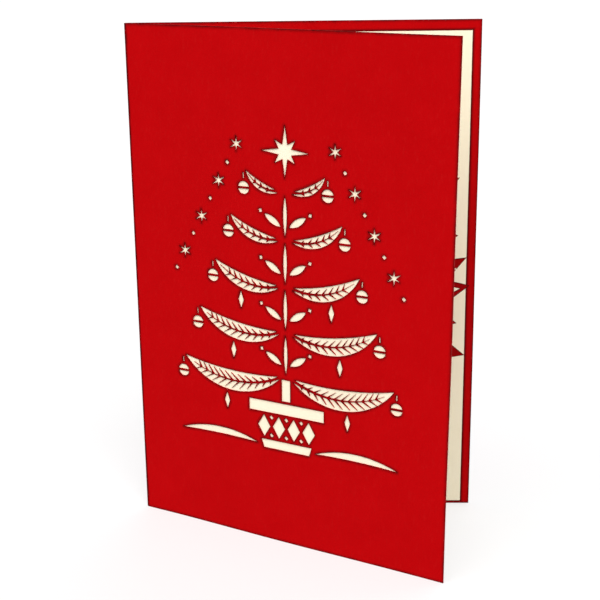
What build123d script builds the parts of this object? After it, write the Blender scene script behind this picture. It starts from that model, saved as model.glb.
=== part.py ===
from build123d import *

import os
from math import acos, asin, atan2, cos, hypot, pi, radians, sin

# A folded greeting card that stands on its bottom edges, partly open. Its front panel is
# pierced with a laser-cut fir tree, a cream liner shows through the cuts and lines the inside,
# and a pop-up of leaf fans folds up between the panels.
#
# Lengths are in millimetres and angles in degrees. While it is built the card stands on z = 0
# with the centre of its fold on the z axis and its mouth towards +x. The front panel leans to
# -y and the back panel to +y, each by half the opening angle.

# The folded cover
opening_angle = 29.0  # between the two panels, as the card stands
panel_width = 121.0  # from the fold's centre line to the fore-edge
panel_height = 180.0
cover_thickness = 0.42  # 300 g/m2 card

# The cream liner, glued inside the cover and a little smaller than it
liner_thickness = 0.22
liner_fold_radius = 0.35  # inside the liner's fold
liner_fore_margin = 3.3
liner_top_margin = 3.8
liner_bottom_margin = 1.2

# The cut tree on the front panel
tree_foot_height = 35.0  # of the tub's foot above the card's bottom edge
cut_clearance = 1.0  # how far a cutting prism runs past the card on each side
least_web = 0.9  # card left standing between two neighbouring holes

tub_foot_width = 18.0
tub_rim_width = 27.0
tub_rim_overhang = 1.3  # of the rim past the tub, on each side
tub_foot_band = 3.2
tub_diamond_band = 8.4
tub_diamond_count = 4
tub_rim_band = 4.2

trunk_width = 3.4
trunk_length = 8.0
stem_slit_width = 1.5

bough_count = 5
bough_pitch = 16.2  # between two boughs, up the stem
bough_start = 1.6  # from the middle of the stem to where a bough leaves it
bough_length = 39.5  # of the lowest pair, in a straight line from root to tip
bough_step = 6.2  # by which each pair is shorter than the pair below
bough_fullness = 0.19  # width of a bough as a share of its length
bough_sag = 0.14  # of its middle line below the straight line, as a share of its length
bough_heading = 3.0  # of the lowest pair above the level
bough_heading_step = 5.5

rib_width = 1.0  # of the card left along the middle of a bough, at its root
rib_reach = 0.9  # share of the bough's length
needle_start = 4.4  # along the bough, from its root to the first pair of needles
needle_pitch = 2.5
needle_width = 0.75
needle_spread = 38.0  # between a needle and the rib
needle_reach = 0.78  # share of the way from the rib to the bough's outline

sprig_length = 7.5
sprig_width = 2.4
sprig_heading = 32.0
sprig_height = 4.4  # of a sprig's foot above the root of the boughs below it

bauble_radius = 2.2
bauble_thread_width = 0.5
bauble_thread_length = 2.0
bauble_band = 0.7
bauble_offset = 0.9  # sideways past the tip of its bough
icicle_length = 6.6
icicle_width = 2.2
icicle_share = 0.55  # of its bough's length, where an icicle hangs
icicle_least_bough = 25.0  # length of the shortest bough that carries one

top_star_radius = 9.0
top_star_short_radius = 5.4
top_star_waist = 2.6
top_star_height = 13.4  # of its middle above the root of the topmost boughs

snowflake_radius = 2.8
snowflake_waist = 0.75
snowflake_count = 4
snowflake_start = (40.0, 68.0)  # from the tree's foot, sideways and up
snowflake_step = (-7.2, 13.0)
spark_radius = 0.85  # of the small diamonds between the other motifs

drift_length = 32.0
drift_width = 2.6
drift_rise = 1.8  # of the drift's middle line above its ends
drift_gap = 2.2  # between the tub's foot and a drift

# The pop-up: folded sheets, one above the other, each a fan of leaves on both sides of its own
# fold, with a tab glued to each half of the liner.
popup_thickness = 0.30
tier_corner_height = 71.0  # of the lowest tier's corner, in the card's fold
tier_pitch = 11.0
crease_slant = 50.0  # between a glued crease and the card's fold
wing_angle = 75.0  # on the flat sheet, between a tier's fold and its glued crease
web_inner_radius = 12.0
web_outer_radius = 44.0
web_window_length = 19.0  # of the long diamond cut between two leaves
web_window_width = 4.6
tab_start_radius = 15.0
tab_end_radius = 42.0
tab_width = 5.5
tab_corner = 3.0

leaf_root_radius = 26.0
leaf_width = 24.0
leaf_shoulder = 0.52  # share of a leaf's length where it is widest
leaf_knee = 0.85  # share of its length where its edges turn in towards the tip
leaf_knee_width = 14.5
fold_leaf_radius = 98.0  # to the tip of the leaf on a tier's fold
lower_leaf_angle = 48.6  # from the tier's fold, on the flat sheet
popup_fore_clearance = 1.7  # of the longest leaf tips inside the closed card's fore-edge
tier_leaves = [  # upper leaf's angle, shortfall and lean, lower leaf's shortfall, from the lowest tier
    (25.0, 0.7, 1.5, 15.2),
    (28.6, 1.4, 8.0, 13.2),
    (25.0, 5.7, -2.5, 1.6),
    (25.0, 4.2, 7.0, 4.6),
]
front_wing_shortfall = 4.0  # the leaves on the front half don't show past the front panel

vein_width = 1.5  # of the slit along a leaf, at its foot
vein_start = 16.0  # past the web's rim
vein_end = 5.6  # short of the leaf's tip
tip_window_length = 5.2  # of the diamond near an upper leaf's tip
tip_window_width = 2.2
tip_window_place = 6.0  # of its middle, short of the tip
tip_window_gap = 1.4  # between the diamond and the vein
spur_pitch = 12.0
spur_lead = 4.0  # from the slit's end back to the first pair of spurs
spur_width = 1.3
spur_length = 5.5
spur_growth = 0.45  # length of a spur near the slit's end, as a share of its distance from there
spur_spread = 36.0

# What follows from the sizes above
half_opening = radians(opening_angle / 2)
cover_inner_radius = liner_fold_radius + liner_thickness
liner_width = panel_width - liner_fore_margin
tree_middle = panel_width / 2  # the tree stands in the middle of its panel


def panel_direction(side):
    """Level unit vector from the fold towards a panel's fore-edge: side is 1 for the back."""
    return Vector(cos(half_opening), side * sin(half_opening), 0)


def panel_outward(side):
    """Unit vector square to a panel, pointing out of the card."""
    return Vector(-sin(half_opening), side * cos(half_opening), 0)


# Folded sheets


def folded_sheet(fold_radius, thickness, width, bottom, top):
    """A sheet folded once about the z axis, with both halves equally wide."""

    def point(side, distance, along):
        return panel_outward(side) * distance + panel_direction(side) * along

    inner, outer = fold_radius, fold_radius + thickness
    plan = make_face(
        [
            Line(point(-1, inner, width), point(-1, inner, 0)),
            ThreePointArc(point(-1, inner, 0), (-inner, 0), point(1, inner, 0)),
            Line(point(1, inner, 0), point(1, inner, width)),
            Line(point(1, inner, width), point(1, outer, width)),
            Line(point(1, outer, width), point(1, outer, 0)),
            ThreePointArc(point(1, outer, 0), (-outer, 0), point(-1, outer, 0)),
            Line(point(-1, outer, 0), point(-1, outer, width)),
            Line(point(-1, outer, width), point(-1, inner, width)),
        ]
    )
    return Pos(0, 0, bottom) * extrude(plan, amount=top - bottom, dir=(0, 0, 1))


# Flat shapes that the laser cuts. Each is a face in its own plane, and a long one starts at the
# origin and points along +x.


def lens(length, width, sag=0.0):
    """A pointed outline between two arcs, whose middle line hangs below the straight line."""
    upper = ThreePointArc((0, 0), (length / 2, width / 2 - sag), (length, 0))
    lower = ThreePointArc((length, 0), (length / 2, -width / 2 - sag), (0, 0))
    return make_face([upper, lower])


def middle_line(length, sag, share):
    """Point and heading, in radians, at a share of the way along the middle line of a lens."""
    if sag == 0:
        return Vector(share * length, 0), 0.0
    radius = (length**2 / 4 + sag**2) / (2 * sag)
    heading = (2 * share - 1) * asin(length / 2 / radius)
    return Vector(length / 2 + radius * sin(heading), radius - sag - radius * cos(heading)), heading


def feather(length, sag, width, shares, barb_width, spread, barb_reach):
    """A tapering rib along a lens's middle line, with a barb on both sides at each share.

    The rib is as wide as width at its root. barb_reach gives a barb's length from its share.
    """

    def beside(share, way):
        point, heading = middle_line(length, sag, share)
        half = width / 2 * (1 - share / shares[-1])
        return point + Vector(-sin(heading), cos(heading)) * half * way

    sides = {}
    for way in (1, -1):
        sides[way] = [beside(0, way)]
        for share in shares[:-1]:
            heading = middle_line(length, sag, share)[1] + way * radians(spread)
            near = beside(share, way)
            tip = near + Vector(cos(heading), sin(heading)) * barb_reach(share)
            sides[way] += [near, tip, beside(share + barb_width / length, way)]
    corners = sides[1] + [middle_line(length, sag, shares[-1])[0]] + sides[-1][::-1]
    return Polygon(*[(corner.X, corner.Y) for corner in corners], align=None)


def star(radii, points):
    """A star with its first point upwards, whose corners lie at the given radii in turn."""
    corners = []
    for number in range(len(radii) * points):
        angle = pi / 2 + 2 * pi * number / (len(radii) * points)
        reach = radii[number % len(radii)]
        corners.append((reach * cos(angle), reach * sin(angle)))
    return Polygon(*corners, align=None)


def placed(shape, x, y, heading=0.0):
    """The shape turned by heading degrees and moved to (x, y)."""
    return Pos(x, y) * Rot(0, 0, heading) * shape


# The tree


def bough(length):
    """A bough-shaped hole that keeps a rib with needles, which hang on at the bough's root."""
    width, sag = length * bough_fullness, length * bough_sag
    pairs = int((length * rib_reach - needle_start) / needle_pitch)
    shares = [(needle_start + number * needle_pitch) / length for number in range(pairs)]

    def reach(share):
        room = width / 2 * 4 * share * (1 - share) - rib_width / 2 * (1 - share)
        return room * needle_reach / sin(radians(needle_spread))

    rib = feather(length, sag, rib_width, shares + [rib_reach], needle_width, needle_spread, reach)
    return lens(length, width, sag) - rib


def hanging_place(length, share):
    """Point on the lower outline of a level bough, at a share of its length."""
    below = length * (bough_sag + bough_fullness / 2) * 4 * share * (1 - share)
    return share * length, -below


def tub():
    """The bands of the tub that the tree stands in, and the height of its rim."""
    diamonds_low = tub_foot_band + least_web
    rim_low = diamonds_low + tub_diamond_band + least_web
    slope = (tub_rim_width - tub_foot_width) / 2 / rim_low

    def half_width(height):
        return tub_foot_width / 2 + slope * height

    foot = Polygon(
        (-half_width(0), 0),
        (half_width(0), 0),
        (half_width(tub_foot_band), tub_foot_band),
        (-half_width(tub_foot_band), tub_foot_band),
        align=None,
    )
    rim = Rectangle(tub_rim_width + 2 * tub_rim_overhang, tub_rim_band)
    shapes = [foot, placed(rim, 0, rim_low + tub_rim_band / 2)]
    middle_height = diamonds_low + tub_diamond_band / 2
    pitch = 2 * half_width(middle_height) / tub_diamond_count
    diamond = star([tub_diamond_band / 2, (pitch - least_web) / 2], 2)
    for number in range(tub_diamond_count):
        x = (number + 0.5) * pitch - half_width(middle_height)
        shapes.append(placed(diamond, x, middle_height))
        if number:
            for way in (1, -1):
                spark_height = middle_height + way * (tub_diamond_band / 2 - spark_radius)
                shapes.append(placed(spark(), x - pitch / 2, spark_height))
    return shapes, rim_low + tub_rim_band


def spark():
    """A small diamond."""
    return star([spark_radius], 4)


def bauble():
    """A bauble with a band left across it, hanging on its thread from the origin."""
    middle = -bauble_thread_length - least_web - bauble_radius
    ball = placed(Circle(bauble_radius), 0, middle)
    band = placed(Rectangle(3 * bauble_radius, bauble_band), 0, middle)
    thread = placed(Rectangle(bauble_thread_width, bauble_thread_length), 0, -bauble_thread_length / 2)
    return [ball - band, thread]


def icicle():
    """A long diamond that hangs from the origin."""
    return placed(star([icicle_length / 2, icicle_width / 2], 2), 0, -icicle_length / 2)


def dressed_bough(number, root):
    """One bough on the right of the stem, at the height of its root, and what hangs from it."""
    length = bough_length - number * bough_step
    heading = bough_heading + number * bough_heading_step

    def hung(share, offset):
        hook = Vector(*hanging_place(length, share)).rotate(Axis.Z, heading)
        return Pos(bough_start + hook.X + offset, root + hook.Y - least_web)

    shapes = [placed(bough(length), bough_start, root, heading)]
    shapes += [hung(1.0, bauble_offset) * shape for shape in bauble()]
    if length >= icicle_least_bough:
        shapes.append(hung(icicle_share, 0.0) * icicle())
    return shapes


def sprig(root):
    """A small leaf with a spark at its tip, on the right of the stem above a bough's root."""
    leaf = lens(sprig_length, sprig_width)
    tip = placed(spark(), sprig_length + least_web + spark_radius, 0)
    return [placed(shape, bough_start, root + sprig_height, sprig_heading) for shape in (leaf, tip)]


def snowfall():
    """The snowflakes on the right of the tree, with sparks between them."""
    shapes = []
    for number in range(snowflake_count):
        x = snowflake_start[0] + number * snowflake_step[0]
        y = snowflake_start[1] + number * snowflake_step[1]
        shapes.append(placed(star([snowflake_radius, snowflake_waist], 6), x, y))
        shapes.append(placed(spark(), x - snowflake_step[0] / 2, y - snowflake_step[1] / 2))
    return shapes


def tree():
    """Every hole of the tree, with the middle of the tub's foot at the origin."""
    middle, tub_height = tub()
    trunk_low = tub_height + least_web
    middle.append(placed(Rectangle(trunk_width, trunk_length), 0, trunk_low + trunk_length / 2))
    first_root = trunk_low + trunk_length + least_web

    drift = lens(drift_length, drift_width, -drift_rise)
    side = [placed(drift, tub_foot_width / 2 + drift_gap, drift_width / 2)]
    side += snowfall()
    for number in range(bough_count):
        root = first_root + number * bough_pitch
        side += dressed_bough(number, root)
        if number < bough_count - 1:
            slit = lens(bough_pitch - 2 * least_web, stem_slit_width)
            middle.append(placed(slit, 0, root + least_web, 90))
            side += sprig(root)
    top_root = first_root + (bough_count - 1) * bough_pitch
    top_star = star([top_star_radius, top_star_waist, top_star_short_radius, top_star_waist], 4)
    middle.append(placed(top_star, 0, top_root + top_star_height))
    return middle + side + [mirror(shape, about=Plane.YZ) for shape in side]


def pierced_cover():
    """The cover with the tree cut through its front panel."""
    cover = folded_sheet(cover_inner_radius, cover_thickness, panel_width, 0, panel_height)
    front = Plane(
        origin=panel_outward(-1) * (cover_inner_radius - cut_clearance),
        x_dir=panel_direction(-1),
        z_dir=panel_outward(-1),
    )
    depth = cover_thickness + 2 * cut_clearance
    holes = [front * Pos(tree_middle, tree_foot_height) * shape for shape in tree()]
    return cover - [extrude(hole, amount=depth, dir=panel_outward(-1)) for hole in holes]


# The pop-up


def fold_rise():
    """Angle between straight down and a tier's fold, with the card open as it stands.

    The angle on the sheet between fold and crease can't change, and that settles where the
    fold points.
    """
    level = sin(radians(crease_slant)) * cos(half_opening)
    upright = cos(radians(crease_slant))
    return atan2(level, upright) + acos(cos(radians(wing_angle)) / hypot(level, upright))


def polar(radius, angle):
    """Point of a tier's flat sheet, from its corner, with the angle measured from its fold."""
    return radius * cos(radians(angle)), radius * sin(radians(angle))


def web_sector():
    """The part of a wing that joins its leaves to the glued crease."""
    middle = wing_angle / 2
    inner, outer = web_inner_radius, web_outer_radius
    return make_face(
        [
            Line(polar(inner, 0), polar(outer, 0)),
            ThreePointArc(polar(outer, 0), polar(outer, middle), polar(outer, wing_angle)),
            Line(polar(outer, wing_angle), polar(inner, wing_angle)),
            Line(polar(inner, wing_angle), polar(inner, 0)),
        ]
    )


def leaf_outline(length, lean):
    """A leaf with straight edges that turn at its shoulders and knees, and a tip that leans.

    lean is how far the tip stands aside from the leaf's middle line, towards the tier's fold.
    """
    shoulder, knee = length * leaf_shoulder, length * leaf_knee
    return Polygon(
        (0, 0),
        (shoulder, leaf_width / 2),
        (knee, leaf_knee_width / 2),
        (length, -lean),
        (knee, -leaf_knee_width / 2),
        (shoulder, -leaf_width / 2),
        align=None,
    )


def leaf_vein(tip_radius, end):
    """The slit along a leaf, which branches like a vein and stops short of the tip by end."""
    start = web_outer_radius + vein_start
    length = tip_radius - end - start
    pairs = int((length - spur_lead) / spur_pitch) + 1
    shares = [1 - (spur_lead + number * spur_pitch) / length for number in reversed(range(pairs))]

    def reach(share):
        return min(spur_length, spur_growth * (1 - share) * length)

    slit = feather(length, 0.0, vein_width, shares + [1.0], spur_width, spur_spread, reach)
    return Pos(start, 0) * slit


def leaf(angle, tip_radius, lean=0.0):
    """A leaf in its place on the wing's flat sheet, from its root under the web."""
    outline = leaf_outline(tip_radius - leaf_root_radius, lean)
    return Rot(0, 0, angle) * Pos(leaf_root_radius, 0) * outline


def wing_sheet(upper_angle, upper_shortfall, upper_lean, lower_shortfall):
    """Half of a tier's flat sheet, from its fold at y = 0 to its glued crease."""
    upper_tip = leaf_tip_radius(upper_angle, upper_shortfall)
    lower_tip = leaf_tip_radius(lower_leaf_angle, lower_shortfall)
    sheet = web_sector() + leaf(0.0, fold_leaf_radius)
    sheet += leaf(upper_angle, upper_tip, upper_lean) + leaf(lower_leaf_angle, lower_tip)

    window_middle = (web_inner_radius + web_outer_radius) / 2
    window = Pos(window_middle, 0) * star([web_window_width / 2, web_window_length / 2], 2)
    tip_window = star([tip_window_width / 2, tip_window_length / 2], 2)
    tip_window = Pos(upper_tip - tip_window_place, -upper_lean / 2) * tip_window
    upper_end = tip_window_place + tip_window_length / 2 + tip_window_gap
    slits = [Rot(0, 0, lower_leaf_angle) * cut for cut in (window, leaf_vein(lower_tip, vein_end))]
    upper_cuts = (window, tip_window, leaf_vein(upper_tip, upper_end))
    slits += [Rot(0, 0, upper_angle) * cut for cut in upper_cuts]
    beyond = 2 * panel_height
    return (sheet & placed(Rectangle(beyond, beyond), 0, beyond / 2)) - slits


def leaf_tip_radius(angle, shortfall):
    """Distance from the corner to a leaf's tip, which stays inside the closed card."""
    closed_direction = radians(crease_slant + wing_angle - angle)
    return (panel_width - popup_fore_clearance - shortfall) / sin(closed_direction)


def tab_outline():
    """The tab that is glued to the liner, below a crease along +x."""
    return Polygon(
        (tab_start_radius, 0),
        (tab_end_radius, 0),
        (tab_end_radius - tab_corner, -tab_width),
        (tab_start_radius + tab_corner, -tab_width),
        align=None,
    )


def popup_tier(height, upper_angle, upper_shortfall, upper_lean, lower_shortfall):
    """One folded leaf fan: two wings that meet in a rounded fold, and a tab on each.

    height is where the tier's corner lies in the card's fold.
    """
    tab_middle = liner_fold_radius - popup_thickness / 2
    corner = Vector(-tab_middle / sin(half_opening), 0, height)
    rise = fold_rise()
    fold = Vector(sin(rise), 0, -cos(rise))
    slant = radians(crease_slant)
    crease = panel_direction(1) * sin(slant) - Vector(0, 0, cos(slant))
    wing_plane = Plane(origin=corner, x_dir=fold, z_dir=fold.cross(crease))
    tab_plane = Plane(origin=corner, x_dir=crease, z_dir=panel_outward(1))

    def half(shorter_by):
        upper, lower = upper_shortfall + shorter_by, lower_shortfall + shorter_by
        sheet = wing_sheet(upper_angle, upper, upper_lean, lower)
        wing = extrude(wing_plane * sheet, popup_thickness / 2, both=True)
        return wing + extrude(tab_plane * tab_outline(), popup_thickness / 2, both=True)

    fold_plane = Plane(origin=corner + fold * web_inner_radius, z_dir=fold)
    fold_length = fold_leaf_radius - popup_thickness - web_inner_radius
    bend = extrude(fold_plane * Circle(popup_thickness / 2), fold_length)
    return half(0.0) + mirror(half(front_wing_shortfall), about=Plane.XZ) + bend


parts = {
    "cover": pierced_cover(),
    "liner": folded_sheet(
        liner_fold_radius,
        liner_thickness,
        liner_width,
        liner_bottom_margin,
        panel_height - liner_top_margin,
    ),
}
for tier, leaves in enumerate(tier_leaves):
    corner_height = tier_corner_height + tier * tier_pitch
    parts[f"popup_tier_{tier + 1}"] = popup_tier(corner_height, *leaves)

# The origin goes to the middle of the cover's footprint, on the surface that it stands on.
footprint = parts["cover"].bounding_box().center()
to_origin = Pos(-footprint.X, -footprint.Y, 0)
os.makedirs("parts", exist_ok=True)
for name, shape in parts.items():
    export_step(to_origin * shape, f"parts/{name}.step")
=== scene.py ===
"""The look of a folded greeting card that stands partly open: paper, cut edges and light.

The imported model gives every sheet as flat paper. Here each sheet is copied, cut into a fine
grid, and given the slight twist and cockle that real card has when it stands on its edges. Its
faces, trimmed edges and laser-cut edges then get finishes of their own. All meshes are in
metres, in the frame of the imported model: +Z runs up the fold and the mouth faces +X.
"""

import logging
import math
from dataclasses import dataclass
from enum import Enum
from typing import Any

import bmesh
import bpy
import numpy as np
from bpy.types import Material, NodeSocket, NodeTree
from mathutils import Matrix, Vector


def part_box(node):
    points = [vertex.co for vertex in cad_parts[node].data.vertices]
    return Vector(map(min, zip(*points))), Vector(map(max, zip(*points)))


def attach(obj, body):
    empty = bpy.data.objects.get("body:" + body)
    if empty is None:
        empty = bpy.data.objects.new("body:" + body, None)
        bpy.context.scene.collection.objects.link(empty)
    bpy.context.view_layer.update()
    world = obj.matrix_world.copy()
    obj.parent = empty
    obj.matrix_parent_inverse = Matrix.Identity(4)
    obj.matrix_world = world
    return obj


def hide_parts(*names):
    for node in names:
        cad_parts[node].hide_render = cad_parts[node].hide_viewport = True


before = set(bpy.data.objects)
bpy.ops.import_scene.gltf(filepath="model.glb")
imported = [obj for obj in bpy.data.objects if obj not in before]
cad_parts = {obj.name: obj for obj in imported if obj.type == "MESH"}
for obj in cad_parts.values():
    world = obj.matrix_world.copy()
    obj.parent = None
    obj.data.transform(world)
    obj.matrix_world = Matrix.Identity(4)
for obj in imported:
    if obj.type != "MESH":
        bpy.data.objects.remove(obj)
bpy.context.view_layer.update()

MM = 0.001
ROOT_BODY = "root"
SHEET_MAP = "sheet"
FACE_SLOT = 0
# The sRGB curve: a straight toe for dark values, and above it a shifted power curve.
SRGB_TOE_END, SRGB_TOE_SLOPE, SRGB_SHIFT, SRGB_POWER = 0.04045, 12.92, 0.055, 2.4
# A Mix node has a socket of each name for every kind of data, so its colour ones go by number.
MIX_SHARE, MIX_UNDER, MIX_OVER, MIX_RESULT = 0, 6, 7, 2
# Brings s (1 - s)^2 to 1 at its peak, which is 4/27 where s is a third.
BOW_TO_ONE = 27 / 4
log = logging.getLogger("greeting_card")


class EdgeKind(Enum):
    """How the edges of a sheet were cut, and their material slot, after the face's own."""

    TRIMMED = 1
    LASER_CUT = 2


def linear(hex_colour: str) -> tuple[float, float, float, float]:
    """Turns an sRGB colour into the linear values that a shader socket takes.

    Args:
        hex_colour: Six hex digits, two each for red, green and blue.

    Returns:
        Linear red, green and blue, and an alpha of 1.
    """
    shares = [int(hex_colour[place : place + 2], 16) / 255 for place in (0, 2, 4)]
    lit = [
        share / SRGB_TOE_SLOPE
        if share <= SRGB_TOE_END
        else ((share + SRGB_SHIFT) / (1 + SRGB_SHIFT)) ** SRGB_POWER
        for share in shares
    ]
    return (*lit, 1.0)


def add_node(
    tree: NodeTree, kind: str, inputs: dict[str | int, Any] | None = None, **settings: Any
) -> bpy.types.Node:
    """Adds one shader node with its settings and links.

    Args:
        tree: The node tree that gets the node.
        kind: The node's type name.
        inputs: Values or output sockets, by the name or number of the input socket.
        settings: Properties of the node itself.

    Returns:
        The new node.
    """
    node = tree.nodes.new(kind)
    for name, value in settings.items():
        setattr(node, name, value)
    for name, value in (inputs or {}).items():
        if isinstance(value, NodeSocket):
            tree.links.new(value, node.inputs[name])
        else:
            node.inputs[name].default_value = value
    return node


def empty_material(name: str) -> tuple[Material, NodeTree]:
    """Makes a material with no nodes in it yet.

    Args:
        name: The material's name.

    Returns:
        The material and its node tree.
    """
    material = bpy.data.materials.new(name)
    material.use_nodes = True
    material.node_tree.nodes.clear()
    return material, material.node_tree


def read_values(
    items: bpy.types.bpy_prop_collection, attribute: str, width: int = 1, kind: type = np.float32
) -> np.ndarray:
    """Reads one attribute of all of a mesh's vertices, corners or faces.

    Args:
        items: The mesh's collection of them.
        attribute: The attribute's name.
        width: How many numbers each item has.
        kind: The numbers' type.

    Returns:
        A row for each item, or a flat array where the width is 1.
    """
    values = np.empty(len(items) * width, kind)
    items.foreach_get(attribute, values)
    return values.reshape(-1, width) if width > 1 else values


@dataclass(frozen=True)
class Grain:
    """A noise pattern: the size of its forms, its finer layers, and how strongly they show."""

    size_mm: float
    detail: float
    roughness: float = 0.5

    @property
    def per_metre(self) -> float:
        """How many forms lie along a metre, which is the scale that a noise node takes."""
        return 1 / (self.size_mm * MM)


@dataclass(frozen=True)
class PaperStock:
    """An uncoated sheet, dyed through: matt, with soft clouds of denser fibre and a fine tooth.

    The clouds come from fibres that gather as the sheet forms on its wire, and the streaks are
    single fibres. The real tooth is about 0.1 mm wide, too fine to show, so it is drawn coarser.
    Each band of soot and painted shade is its reach from a cut, in millimetres, and its share
    where it is densest.
    A range of noise is where a pattern starts to show and where it is full.
    """

    name: str
    colour: str
    cloud_colour: str
    fibre_colour: str
    clouds: Grain = Grain(size_mm=9.0, detail=4.0, roughness=0.6)
    fibre_mm: tuple[float, float, float] = (0.5, 0.5, 2.2)
    fibre_detail: float = 2.0
    fibre_range: tuple[float, float] = (0.55, 0.8)
    fibre_share: float = 0.10
    tooth: Grain = Grain(size_mm=0.45, detail=3.0, roughness=0.7)
    tooth_depth_mm: float = 0.035
    # Dark red laid beside the cuts, on the fold and beside the liner: partly soot and glue, partly
    # painted shade.
    soot_and_shade_colour: str = "4E0608"
    soot_and_shade_bands: tuple[tuple[float, float], ...] = ((0.6, 1.0), (1.6, 0.65))
    soot_and_shade_lean: tuple[float, float] = (0.9997, 0.98)
    soot_and_shade_samples: int = 8
    soot_and_shade_patches: Grain = Grain(size_mm=4.0, detail=3.0)
    soot_and_shade_patch_range: tuple[float, float] = (0.35, 0.6)
    thinnest_soot_and_shade: float = 0.6
    roughness: float = 0.92
    specular: float = 0.02

    def patchy(self, tree: NodeTree, place: NodeSocket, even: NodeSocket) -> NodeSocket:
        """Makes the soot and painted shade thinner in some places than in others.

        Args:
            tree: The material's node tree.
            place: The point, in object coordinates.
            even: The share of soot and painted shade, before it is made uneven.

        Returns:
            The share of soot and painted shade, from 0 to 1.
        """
        patches = self.soot_and_shade_patches
        drift = add_node(
            tree,
            "ShaderNodeTexNoise",
            {"Vector": place, "Scale": patches.per_metre, "Detail": patches.detail},
        )
        thin_at, dense_at = self.soot_and_shade_patch_range
        ends = {"From Min": thin_at, "From Max": dense_at, "To Min": self.thinnest_soot_and_shade}
        thinned = add_node(tree, "ShaderNodeMapRange", {"Value": drift.outputs["Fac"], **ends})
        return add_node(
            tree, "ShaderNodeMath", {0: even, 1: thinned.outputs["Result"]}, operation="MULTIPLY"
        ).outputs["Value"]

    def edge_soot_and_shade(self, tree: NodeTree, place: NodeSocket) -> NodeSocket:
        """Finds how dark each point beside the cuts is: partly soot from the laser's smoke, partly
        painted shade of the cut edge.

        Near an edge the normal, averaged over a small sphere, leans away from the face's own, and
        the dot product of the two falls from 1 by the range in soot_and_shade_lean. Each band has
        a sphere of its own size, and where bands overlap the darker one shows.

        Args:
            tree: The material's node tree.
            place: The point, in object coordinates.

        Returns:
            The share of soot, from 0 to 1.
        """
        own = add_node(tree, "ShaderNodeNewGeometry").outputs["Normal"]
        clean_at, full_at = self.soot_and_shade_lean
        darkest: NodeSocket | float = 0.0
        for reach_mm, share in self.soot_and_shade_bands:
            leaning = add_node(
                tree, "ShaderNodeBevel", {"Radius": reach_mm * MM}, samples=self.soot_and_shade_samples
            )
            alike = add_node(
                tree,
                "ShaderNodeVectorMath",
                {0: leaning.outputs["Normal"], 1: own},
                operation="DOT_PRODUCT",
            )
            ends = {"From Min": clean_at, "From Max": full_at, "To Max": share}
            band = add_node(tree, "ShaderNodeMapRange", {"Value": alike.outputs["Value"], **ends})
            darkest = add_node(
                tree,
                "ShaderNodeMath",
                {0: band.outputs["Result"], 1: darkest},
                operation="MAXIMUM",
            ).outputs["Value"]
        return self.patchy(tree, place, darkest)

    def stained(self, tree: NodeTree, place: NodeSocket, clean: NodeSocket) -> NodeSocket:
        """Lays the soot and painted shade beside the cuts over the clean colour.

        Args:
            tree: The material's node tree.
            place: The point, in object coordinates.
            clean: The colour of the clean sheet.

        Returns:
            The stained colour.
        """
        if not self.soot_and_shade_bands:
            return clean
        # Darkens the face beside every cut: soot from the laser, and painted shade of the cut
        # edge.
        soot_and_shade_share = self.edge_soot_and_shade(tree, place)
        return add_node(
            tree,
            "ShaderNodeMix",
            {MIX_SHARE: soot_and_shade_share, MIX_UNDER: clean, MIX_OVER: linear(self.soot_and_shade_colour)},
            data_type="RGBA",
        ).outputs[MIX_RESULT]

    def clean_colour(self, tree: NodeTree, place: NodeSocket) -> NodeSocket:
        """Builds the colour of the clean sheet: clouds of fibre, and single fibres over them.

        The noise of the fibres gets its scale from the mapping, which draws them out lengthwise.

        Args:
            tree: The material's node tree.
            place: The point, in object coordinates.

        Returns:
            The colour.
        """
        clouds = add_node(
            tree,
            "ShaderNodeTexNoise",
            {
                "Vector": place,
                "Scale": self.clouds.per_metre,
                "Detail": self.clouds.detail,
                "Roughness": self.clouds.roughness,
            },
        )
        cloudy = add_node(
            tree,
            "ShaderNodeMix",
            {
                MIX_SHARE: clouds.outputs["Fac"],
                MIX_UNDER: linear(self.colour),
                MIX_OVER: linear(self.cloud_colour),
            },
            data_type="RGBA",
        )
        along = add_node(
            tree,
            "ShaderNodeMapping",
            {"Vector": place, "Scale": tuple(1 / (size * MM) for size in self.fibre_mm)},
        )
        fibres = add_node(
            tree,
            "ShaderNodeTexNoise",
            {"Vector": along.outputs["Vector"], "Scale": 1.0, "Detail": self.fibre_detail},
        )
        thin_at, dense_at = self.fibre_range
        ends = {"From Min": thin_at, "From Max": dense_at, "To Max": self.fibre_share}
        sparse = add_node(tree, "ShaderNodeMapRange", {"Value": fibres.outputs["Fac"], **ends})
        return add_node(
            tree,
            "ShaderNodeMix",
            {
                MIX_SHARE: sparse.outputs["Result"],
                MIX_UNDER: cloudy.outputs[MIX_RESULT],
                MIX_OVER: linear(self.fibre_colour),
            },
            data_type="RGBA",
        ).outputs[MIX_RESULT]

    def material(self) -> Material:
        """Builds the stock's shader.

        Returns:
            The material.
        """
        material, tree = empty_material(self.name)
        place = add_node(tree, "ShaderNodeTexCoord").outputs["Object"]
        tooth = add_node(
            tree,
            "ShaderNodeTexNoise",
            {
                "Vector": place,
                "Scale": self.tooth.per_metre,
                "Detail": self.tooth.detail,
                "Roughness": self.tooth.roughness,
            },
        )
        relief = add_node(
            tree,
            "ShaderNodeBump",
            {"Height": tooth.outputs["Fac"], "Distance": self.tooth_depth_mm * MM},
        )
        shader = add_node(
            tree,
            "ShaderNodeBsdfPrincipled",
            {
                "Base Color": self.stained(tree, place, self.clean_colour(tree, place)),
                "Roughness": self.roughness,
                "Specular IOR Level": self.specular,
                "Normal": relief.outputs["Normal"],
            },
        )
        add_node(tree, "ShaderNodeOutputMaterial", {"Surface": shader.outputs["BSDF"]})
        return material


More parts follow.
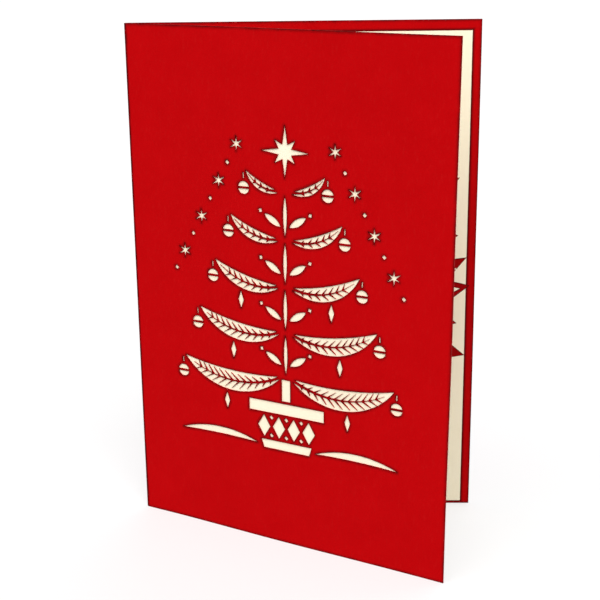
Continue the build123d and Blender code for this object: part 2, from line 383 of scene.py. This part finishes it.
@dataclass(frozen=True)
class LinedCard(PaperStock):
    """Card with a darkened fold and a glued-in liner, whose edge has a thin dark line beside it.

    The laser also scores the fold, so that it bends clean. The fold's outside is painted dark:
    painted shade where it turns away from the light, with some scorch. The line beside the liner
    is glue, and painted contact shade where the liner's edge meets the card. The sheet's UV map
    holds the distance from the fold, negative on the outside, and the height.
    """

    liner_reach_m: float = 0.0
    liner_bottom_m: float = 0.0
    liner_top_m: float = 0.0
    # The line beside the liner: glue, and painted contact shade where the liner's edge meets the
    # card.
    line_mm: float = 0.3
    line_fade_mm: float = 0.8
    line_share: float = 0.92
    # The dark band on the fold's outside: painted shade where it turns from the light, and some
    # scorch.
    fold_radius_mm: float = 0.0
    fold_fade_mm: float = 0.35
    fold_share: float = 0.88

    def glue_and_shade_share(self, tree: NodeTree, along: NodeSocket, up: NodeSocket) -> NodeSocket:
        """Finds how dark the line beside the liner makes each point, from 0 to 1, which is nil on
        the outside.
        The line is glue, and painted contact shade where the liner's edge meets the card.

        The distance beyond the liner is the largest of those past its fore-edge, top and bottom.

        Args:
            tree: The material's node tree.
            along: The distance from the fold, in metres and negative on the outside.
            up: The height, in metres.

        Returns:
            The share.
        """
        edges = ((along, self.liner_reach_m), (up, self.liner_top_m), (self.liner_bottom_m, up))
        past = [
            add_node(tree, "ShaderNodeMath", {0: further, 1: nearer}, operation="SUBTRACT")
            for further, nearer in edges
        ]
        beyond = past[0].outputs["Value"]
        for other in past[1:]:
            beyond = add_node(
                tree, "ShaderNodeMath", {0: beyond, 1: other.outputs["Value"]}, operation="MAXIMUM"
            ).outputs["Value"]
        ends = {
            "From Min": self.line_mm * MM,
            "From Max": (self.line_mm + self.line_fade_mm) * MM,
            "To Min": self.line_share,
            "To Max": 0.0,
        }
        line = add_node(tree, "ShaderNodeMapRange", {"Value": beyond, **ends})
        inside = add_node(tree, "ShaderNodeMath", {0: along, 1: 0.0}, operation="GREATER_THAN")
        return add_node(
            tree,
            "ShaderNodeMath",
            {0: line.outputs["Result"], 1: inside.outputs["Value"]},
            operation="MULTIPLY",
        ).outputs["Value"]

    def fold_shade_and_scorch(self, tree: NodeTree, place: NodeSocket, along: NodeSocket) -> NodeSocket:
        """Finds the painted shade and scorch on the fold's outside, from 0 to 1.

        Args:
            tree: The material's node tree.
            place: The point, in object coordinates.
            along: The distance from the fold, in metres and negative on the outside.

        Returns:
            The share.
        """
        ends = {
            "From Min": -(self.fold_radius_mm + self.fold_fade_mm) * MM,
            "From Max": -self.fold_radius_mm * MM,
            "To Max": self.fold_share,
        }
        near = add_node(tree, "ShaderNodeMapRange", {"Value": along, **ends})
        outside = add_node(tree, "ShaderNodeMath", {0: along, 1: 0.0}, operation="LESS_THAN")
        shaded_and_scorched = add_node(
            tree,
            "ShaderNodeMath",
            {0: near.outputs["Result"], 1: outside.outputs["Value"]},
            operation="MULTIPLY",
        )
        return self.patchy(tree, place, shaded_and_scorched.outputs["Value"])

    def stained(self, tree: NodeTree, place: NodeSocket, clean: NodeSocket) -> NodeSocket:
        """Lays the fold's painted shade and scorch, and the line of glue and painted shade beside
        the liner, over the rest.

        Args:
            tree: The material's node tree.
            place: The point, in object coordinates.
            clean: The colour of the clean sheet.

        Returns:
            The stained colour.
        """
        sooty = super().stained(tree, place, clean)
        spot = add_node(tree, "ShaderNodeUVMap", uv_map=SHEET_MAP).outputs["UV"]
        along, up, _ = add_node(tree, "ShaderNodeSeparateXYZ", {"Vector": spot}).outputs
        share = add_node(
            tree,
            "ShaderNodeMath",
            {0: self.glue_and_shade_share(tree, along, up), 1: self.fold_shade_and_scorch(tree, place, along)},
            operation="MAXIMUM",
        )
        return add_node(
            tree,
            "ShaderNodeMix",
            {
                MIX_SHARE: share.outputs["Value"],
                MIX_UNDER: sooty,
                MIX_OVER: linear(self.soot_and_shade_colour),
            },
            data_type="RGBA",
        ).outputs[MIX_RESULT]


@dataclass(frozen=True)
class CutEdge:
    """The edge of a sheet: open fibres, in streaks of a lighter and a darker tone.

    A blade leaves the fibres pale and fluffy, and the red card's trimmed edge is set paler still,
    as a painted highlight for edges that face the light. A laser browns or chars them, more in
    some places than in others.
    """

    name: str
    colour: str
    streak_colour: str
    streaks: Grain = Grain(size_mm=1.6, detail=5.0, roughness=0.65)
    streak_range: tuple[float, float] = (0.35, 0.65)
    roughness: float = 0.95
    specular: float = 0.02

    def material(self) -> Material:
        """Builds the edge's shader.

        Returns:
            The material.
        """
        material, tree = empty_material(self.name)
        place = add_node(tree, "ShaderNodeTexCoord").outputs["Object"]
        streaks = add_node(
            tree,
            "ShaderNodeTexNoise",
            {
                "Vector": place,
                "Scale": self.streaks.per_metre,
                "Detail": self.streaks.detail,
                "Roughness": self.streaks.roughness,
            },
        )
        low, high = self.streak_range
        ends = {"From Min": low, "From Max": high}
        spread = add_node(tree, "ShaderNodeMapRange", {"Value": streaks.outputs["Fac"], **ends})
        colour = add_node(
            tree,
            "ShaderNodeMix",
            {
                MIX_SHARE: spread.outputs["Result"],
                MIX_UNDER: linear(self.colour),
                MIX_OVER: linear(self.streak_colour),
            },
            data_type="RGBA",
        )
        shader = add_node(
            tree,
            "ShaderNodeBsdfPrincipled",
            {
                "Base Color": colour.outputs[MIX_RESULT],
                "Roughness": self.roughness,
                "Specular IOR Level": self.specular,
            },
        )
        add_node(tree, "ShaderNodeOutputMaterial", {"Surface": shader.outputs["BSDF"]})
        return material


@dataclass(frozen=True)
class Stance:
    """How the open card stands: a slight twist about its fold, a bowed front, a little cockle."""

    half_opening_deg: float = 14.5
    panel_width_mm: float = 121.0
    fold_outer_radius_mm: float = 0.99
    twist_deg: float = 1.78
    top_bow_mm: float = 1.3
    cockle_mm: float = 0.14
    cockle_wave_mm: tuple[float, float] = (83.0, 118.0)
    front_phase: float = 0.4
    back_phase: float = 2.9
    fold_fade_mm: float = 14.0

    def fold_x(self) -> float:
        """X of the fold's centre line, in metres."""
        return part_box("cover")[0].x + self.fold_outer_radius_mm * MM

    def cockle(self, along: np.ndarray, up: np.ndarray, phase: float) -> np.ndarray:
        """Inward displacement of a panel that has dried unevenly.

        The formula is the sine of a phase that grows along the panel and up it, plus half the
        sine of a second one that falls up the panel.

        Args:
            along: Distance from the fold, in metres.
            up: Height, in metres.
            phase: Offset in radians, so that the two panels differ.

        Returns:
            The displacement, in metres.
        """
        wave_along, wave_up = (length * MM for length in self.cockle_wave_mm)
        first = np.sin(2 * math.pi * (along / wave_along + up / wave_up) + phase)
        second = np.sin(2 * math.pi * (along / wave_up - up / wave_along) + 2 * phase)
        return self.cockle_mm * MM * (first + second / 2)

    def applied(self, points: np.ndarray) -> np.ndarray:
        """Moves points of the flat, straight card to where they lie as it stands.

        A point's share across the card is its angle about the fold over half the opening: -1
        on the front panel and 1 on the back one. The front bows inwards by a cubic in the
        distance from the fold that peaks at a third of the panel, times the square of the
        height. Points between the panels take a share of each panel's displacement, and near
        the fold all of it fades out by a smooth step. The whole card then turns about its fold
        by an angle that grows evenly with height and is nil half way up.

        Args:
            points: Points by row, in metres.

        Returns:
            The moved points.
        """
        half = math.radians(self.half_opening_deg)
        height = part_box("cover")[1].z
        x, y, z = points[:, 0] - self.fold_x(), points[:, 1], points[:, 2]
        reach = np.hypot(x, y)
        back_share = (np.clip(np.arctan2(y, x) / half, -1, 1) + 1) / 2
        fade = np.clip(reach / (self.fold_fade_mm * MM), 0, 1)
        fade = fade * fade * (3 - 2 * fade)
        across = reach / (self.panel_width_mm * MM)
        bow = self.top_bow_mm * MM * BOW_TO_ONE * across * (1 - across) ** 2 * (z / height) ** 2
        front = (bow + self.cockle(reach, z, self.front_phase)) * fade * (1 - back_share)
        back = self.cockle(reach, z, self.back_phase) * fade * back_share
        x = x + (front + back) * math.sin(half)
        y = y + (front - back) * math.cos(half)
        turn = math.radians(self.twist_deg) * (z / height - 1 / 2)
        cos, sin = np.cos(turn), np.sin(turn)
        return np.stack([self.fold_x() + x * cos - y * sin, x * sin + y * cos, z], axis=1)


@dataclass
class CardSheet:
    """One cut and folded sheet of the card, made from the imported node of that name.

    The reaches tell how near a face lies to the sheet's outline or fold to count as part of it.
    A face is upright if the upward part of its normal is below most_upward.
    """

    node: str
    slot: str
    face: Material
    edges: dict[EdgeKind, Material]
    stance: Stance
    trimmed: bool = True
    grid_mm: float = 5.0
    smooth_below_deg: float = 35.0
    merge_mm: float = 0.0005
    normal_decimals: int = 2
    face_share: float = 0.02
    edge_reach_mm: float = 0.05
    fold_reach_mm: float = 2.0
    fore_edge_reach_mm: float = 1.5
    most_upward: float = 0.5

    def flat_mesh(self) -> bmesh.types.BMesh:
        """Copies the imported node's triangles and joins them at their corners.

        Returns:
            The joined mesh.
        """
        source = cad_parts[self.node].data
        source.calc_loop_triangles()
        points = read_values(source.vertices, "co", 3)
        corners = read_values(source.loop_triangles, "vertices", 3, np.int32)
        copy = bpy.data.meshes.new(self.node + "_copy")
        copy.from_pydata(points.tolist(), [], corners.tolist())
        mesh = bmesh.new()
        mesh.from_mesh(copy)
        bmesh.ops.remove_doubles(mesh, verts=mesh.verts[:], dist=self.merge_mm * MM)
        bpy.data.meshes.remove(copy)
        return mesh

    def mark_edges(self, mesh: bpy.types.Mesh) -> None:
        """Gives each face its material slot: the sheet's own surface, or how its edge was cut.

        A face belongs to the sheet's surface if its normal is one of the few that carry most
        of the area, or if it lies in the fold. The rest are edges, trimmed where they lie on
        the outline of a sheet that is trimmed, and laser-cut elsewhere.

        Args:
            mesh: The sheet before it is bent.
        """
        normals = read_values(mesh.polygons, "normal", 3)
        centres = read_values(mesh.polygons, "center", 3)
        areas = read_values(mesh.polygons, "area")
        rounded = np.round(normals, self.normal_decimals)
        keys, group = np.unique(rounded, axis=0, return_inverse=True)
        carried = np.bincount(group.ravel(), areas, len(keys))[group.ravel()]
        from_fold = np.hypot(centres[:, 0] - self.stance.fold_x(), centres[:, 1])
        upright = np.abs(normals[:, 2]) < self.most_upward
        in_fold = upright & (from_fold < self.fold_reach_mm * MM)
        surface = (carried > self.face_share * areas.sum()) | in_fold
        low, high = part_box(self.node)
        reach = self.edge_reach_mm * MM
        outline = (centres[:, 2] < low.z + reach) | (centres[:, 2] > high.z - reach)
        outline |= from_fold > from_fold[surface].max()
        outline |= upright & (centres[:, 0] > high.x - self.fore_edge_reach_mm * MM)
        kinds = np.where(outline & self.trimmed, EdgeKind.TRIMMED.value, EdgeKind.LASER_CUT.value)
        slots = np.where(surface, FACE_SLOT, kinds).astype(np.int32)
        mesh.polygons.foreach_set("material_index", slots)

    def map_sheet(self, mesh: bpy.types.Mesh) -> None:
        """Writes each corner's distance from the fold and height to the sheet's UV map.

        The distance is negative on the side that faces away from the other panel.

        Args:
            mesh: The sheet before it is bent.
        """
        corners = read_values(mesh.loops, "vertex_index", kind=np.int32)
        sizes = read_values(mesh.polygons, "loop_total", kind=np.int32)
        sides = read_values(mesh.polygons, "normal", 3)[:, 1]
        at = read_values(mesh.vertices, "co", 3)[corners]
        outward = np.repeat(sides, sizes) * at[:, 1] > 0
        reach = np.hypot(at[:, 0] - self.stance.fold_x(), at[:, 1])
        spots = np.stack([np.where(outward, -reach, reach), at[:, 2]], axis=1)
        layer = mesh.uv_layers.new(name=SHEET_MAP)
        layer.data.foreach_set("uv", spots.astype(np.float32).ravel())

    def sliced(self, mesh: bmesh.types.BMesh) -> None:
        """Cuts the sheet by a grid of level and upright planes, so that it can bend smoothly.

        Args:
            mesh: The sheet, which is changed.
        """
        low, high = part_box(self.node)
        for axis in (0, 2):
            normal = Vector((axis == 0, 0, axis == 2))
            count = math.ceil((high[axis] - low[axis]) / (self.grid_mm * MM))
            for level in np.linspace(low[axis], high[axis], count + 1)[1:-1]:
                whole = mesh.verts[:] + mesh.edges[:] + mesh.faces[:]
                bmesh.ops.bisect_plane(mesh, geom=whole, plane_co=normal * level, plane_no=normal)

    def build(self) -> bpy.types.Object:
        """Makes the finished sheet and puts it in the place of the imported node.

        Returns:
            The sheet.
        """
        mesh = bpy.data.meshes.new(self.node + "_sheet")
        joined = self.flat_mesh()
        joined.to_mesh(mesh)
        self.mark_edges(mesh)
        joined.clear()
        joined.from_mesh(mesh)
        self.sliced(joined)
        joined.to_mesh(mesh)
        joined.free()
        self.map_sheet(mesh)
        bent = self.stance.applied(read_values(mesh.vertices, "co", 3).astype(float))
        mesh.vertices.foreach_set("co", bent.astype(np.float32).ravel())
        mesh.shade_smooth()
        mesh.set_sharp_from_angle(angle=math.radians(self.smooth_below_deg))
        for material in (self.face, *(self.edges[kind] for kind in EdgeKind)):
            mesh.materials.append(material)
        mesh.update()
        piece = bpy.data.objects.new(self.node + "_sheet", mesh)
        bpy.context.scene.collection.objects.link(piece)
        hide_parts(self.node)
        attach(piece, ROOT_BODY)
        log.info("%s: %d faces stand for %s", piece.name, len(mesh.polygons), self.node)
        return piece


def backdrop_rays(tree: NodeTree) -> NodeSocket:
    """Tells apart the rays that show the backdrop: the camera's, off gloss and through glass.

    Args:
        tree: The node tree of the floor or the world.

    Returns:
        1 for such a ray, and 0 for one that only carries light.
    """
    rays = add_node(tree, "ShaderNodeLightPath").outputs
    shown = rays["Is Camera Ray"]
    for kind in ("Is Glossy Ray", "Is Transmission Ray"):
        shown = add_node(
            tree, "ShaderNodeMath", {0: shown, 1: rays[kind]}, operation="MAXIMUM"
        ).outputs["Value"]
    return shown


@dataclass(frozen=True)
class Lamp:
    """A large, distant lamp: its irradiance, how it is turned, and its apparent width.

    The tilt is from straight down, and the turn is about the upright, from the camera's side.
    """

    name: str
    strength: float
    tilt_deg: float
    turn_deg: float
    softness_deg: float

    def build(self) -> None:
        """Adds the lamp to the scene."""
        data = bpy.data.lights.new(self.name, "SUN")
        data.energy = self.strength
        data.angle = math.radians(self.softness_deg)
        lamp = bpy.data.objects.new(self.name, data)
        lamp.rotation_euler = (math.radians(self.tilt_deg), 0, math.radians(self.turn_deg))
        bpy.context.scene.collection.objects.link(lamp)


@dataclass
class Studio:
    """A plain white floor under soft, even light, and the camera at the photograph's place.

    The world lights the card with the strength of sky, and the camera sees it white. The floor
    is a pale grey with a glow that only the camera sees, so it looks white and keeps a shadow.
    """

    camera_mm: tuple[float, float, float] = (105.39, -409.55, 215.75)
    pitch_deg: float = 17.113
    yaw_deg: float = -14.225
    roll_deg: float = -0.558
    focal_px: float = 1263.7
    image_px: float = 600.0
    sensor_mm: float = 36.0
    nearest_m: float = 0.01
    farthest_m: float = 36.0
    floor_radius_m: float = 9.0
    floor_colour: str = "A8A8A8"
    floor_lift: float = 0.55
    backdrop_colour: str = "FFFFFF"
    backdrop_strength: float = 1.0
    sky: float = 0.5
    lamps: tuple[Lamp, ...] = (
        Lamp("key", strength=1.9, tilt_deg=46.0, turn_deg=34.0, softness_deg=50.0),
        Lamp("fill", strength=1.35, tilt_deg=58.0, turn_deg=-36.0, softness_deg=60.0),
        Lamp("back", strength=1.0, tilt_deg=50.0, turn_deg=160.0, softness_deg=70.0),
    )

    def camera(self) -> None:
        """Places the camera, turned right by yaw, down by pitch and then rolled."""
        pitch, yaw, roll = (math.radians(a) for a in (self.pitch_deg, self.yaw_deg, self.roll_deg))
        level_reach = math.cos(pitch)
        ahead = Vector(
            (math.sin(yaw) * level_reach, math.cos(yaw) * level_reach, -math.sin(pitch))
        )
        level = Vector((math.cos(yaw), -math.sin(yaw), 0))
        upright = level.cross(ahead)
        right = math.cos(roll) * level + math.sin(roll) * upright
        up = math.cos(roll) * upright - math.sin(roll) * level
        data = bpy.data.cameras.new("camera")
        data.sensor_width = self.sensor_mm
        data.lens = self.focal_px / self.image_px * self.sensor_mm
        data.clip_start, data.clip_end = self.nearest_m, self.farthest_m
        camera = bpy.data.objects.new("camera", data)
        turn = Matrix((right, up, -ahead)).transposed().to_4x4()
        camera.matrix_world = Matrix.Translation(Vector(self.camera_mm) * MM) @ turn
        bpy.context.scene.collection.objects.link(camera)
        bpy.context.scene.camera = camera

    def world(self) -> None:
        """Lights the scene evenly from all round, and shows as white."""
        world = bpy.data.worlds.new("studio")
        world.use_nodes = True
        tree = world.node_tree
        tree.nodes.clear()
        ends = {"To Min": self.sky, "To Max": self.backdrop_strength}
        strength = add_node(tree, "ShaderNodeMapRange", {"Value": backdrop_rays(tree), **ends})
        shine = add_node(
            tree,
            "ShaderNodeBackground",
            {"Color": linear(self.backdrop_colour), "Strength": strength.outputs["Result"]},
        )
        add_node(tree, "ShaderNodeOutputWorld", {"Surface": shine.outputs["Background"]})
        bpy.context.scene.world = world

    def floor(self) -> None:
        """Lays a wide white floor that shows the card's soft shadow."""
        material, tree = empty_material("white studio floor, matt paint")
        matt = add_node(tree, "ShaderNodeBsdfDiffuse", {"Color": linear(self.floor_colour)})
        lift = add_node(
            tree, "ShaderNodeMapRange", {"Value": backdrop_rays(tree), "To Max": self.floor_lift}
        )
        glow = add_node(
            tree,
            "ShaderNodeEmission",
            {"Color": linear(self.backdrop_colour), "Strength": lift.outputs["Result"]},
        )
        both = add_node(
            tree, "ShaderNodeAddShader", {0: matt.outputs["BSDF"], 1: glow.outputs["Emission"]}
        )
        add_node(tree, "ShaderNodeOutputMaterial", {"Surface": both.outputs["Shader"]})
        mesh = bpy.data.meshes.new("floor")
        r = self.floor_radius_m
        mesh.from_pydata([(-r, -r, 0), (r, -r, 0), (r, r, 0), (-r, r, 0)], [], [(0, 1, 2, 3)])
        mesh.materials.append(material)
        floor = bpy.data.objects.new("floor", mesh)
        bpy.context.scene.collection.objects.link(floor)

    def build(self) -> None:
        """Sets up the camera, the light and the floor."""
        self.camera()
        self.world()
        self.floor()
        for lamp in self.lamps:
            lamp.build()
        bpy.context.scene.view_settings.view_transform = "Standard"
        log.info("studio ready")


# Pulp dyed before the sheet is formed: red right through, and matt from every side. Its red is
# set darker than the cover's as painted shade, for the dim space between the panels.
RED_POPUP_CARD_SHADED = PaperStock(
    "dyed-through uncoated card, 230 g/m2",
    colour="9B0509",
    cloud_colour="A1060B",
    fibre_colour="B42825",
    soot_and_shade_bands=((0.5, 0.95),),
)
# No laser touches the liner, so it is an even warm white with hardly a fibre to be seen.
CREAM_PAPER = PaperStock(
    "uncoated cream text paper",
    colour="FCF3DA",
    cloud_colour="F9EED1",
    fibre_colour="E6D2A2",
    soot_and_shade_bands=(),
)
# A guillotine shears the fibres. The red edge is paler than the face: partly the open fibres,
# partly a painted highlight for the top edges that face the light from above.
RED_TRIMMED_WITH_HIGHLIGHT = CutEdge("guillotined card edge", colour="C8403F", streak_colour="8C1416")
CREAM_TRIMMED = CutEdge("guillotined paper edge", colour="FBF2DC", streak_colour="F3E6C4")
# A laser burns the fibres: brownish red where it passes quickly, near black where it lingers.
BROWNED_CUT = CutEdge("laser-cut card edge, browned", colour="900C0A", streak_colour="B41410")
CHARRED_CUT = CutEdge("laser-cut card edge, charred", colour="4A0606", streak_colour="7A0C0C")


def lined_card(stance: Stance) -> LinedCard:
    """Describes the cover's card, with the liner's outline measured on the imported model.

    Args:
        stance: How the card stands, for the place of its fold.

    Returns:
        The card.
    """
    low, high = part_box("liner")
    return LinedCard(
        "dyed-through uncoated card, 300 g/m2",
        colour="B10307",
        cloud_colour="BC060B",
        fibre_colour="CC302C",
        liner_reach_m=math.hypot(high.x - stance.fold_x(), high.y),
        liner_bottom_m=low.z,
        liner_top_m=high.z,
        fold_radius_mm=stance.fold_outer_radius_mm,
    )


def main() -> None:
    """Builds the studio, then the cover, the liner and the pop-up's tiers."""
    logging.basicConfig(level=logging.INFO, format="%(name)s: %(message)s")
    Studio().build()
    stance = Stance()
    # The red trimmed edge is paler partly as a painted highlight.
    cream, trimmed = CREAM_PAPER.material(), RED_TRIMMED_WITH_HIGHLIGHT.material()
    charred = CHARRED_CUT.material()
    cover_edges = {EdgeKind.TRIMMED: trimmed, EdgeKind.LASER_CUT: BROWNED_CUT.material()}
    popup_edges = {EdgeKind.TRIMMED: trimmed, EdgeKind.LASER_CUT: charred}
    paper_edges = {EdgeKind.TRIMMED: CREAM_TRIMMED.material(), EdgeKind.LASER_CUT: charred}
    cover_card = lined_card(stance).material()
    CardSheet("cover", "red_card", cover_card, cover_edges, stance).build()
    CardSheet("liner", "cream_paper", cream, paper_edges, stance).build()
    # The pop-up's card is the cover's red painted darker, for the shade between the panels.
    popup_card_shaded = RED_POPUP_CARD_SHADED.material()
    for node in sorted(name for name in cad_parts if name.startswith("popup_tier_")):
        CardSheet(node, "red_popup_card", popup_card_shaded, popup_edges, stance, trimmed=False).build()


if __name__ == "__main__":
    main()
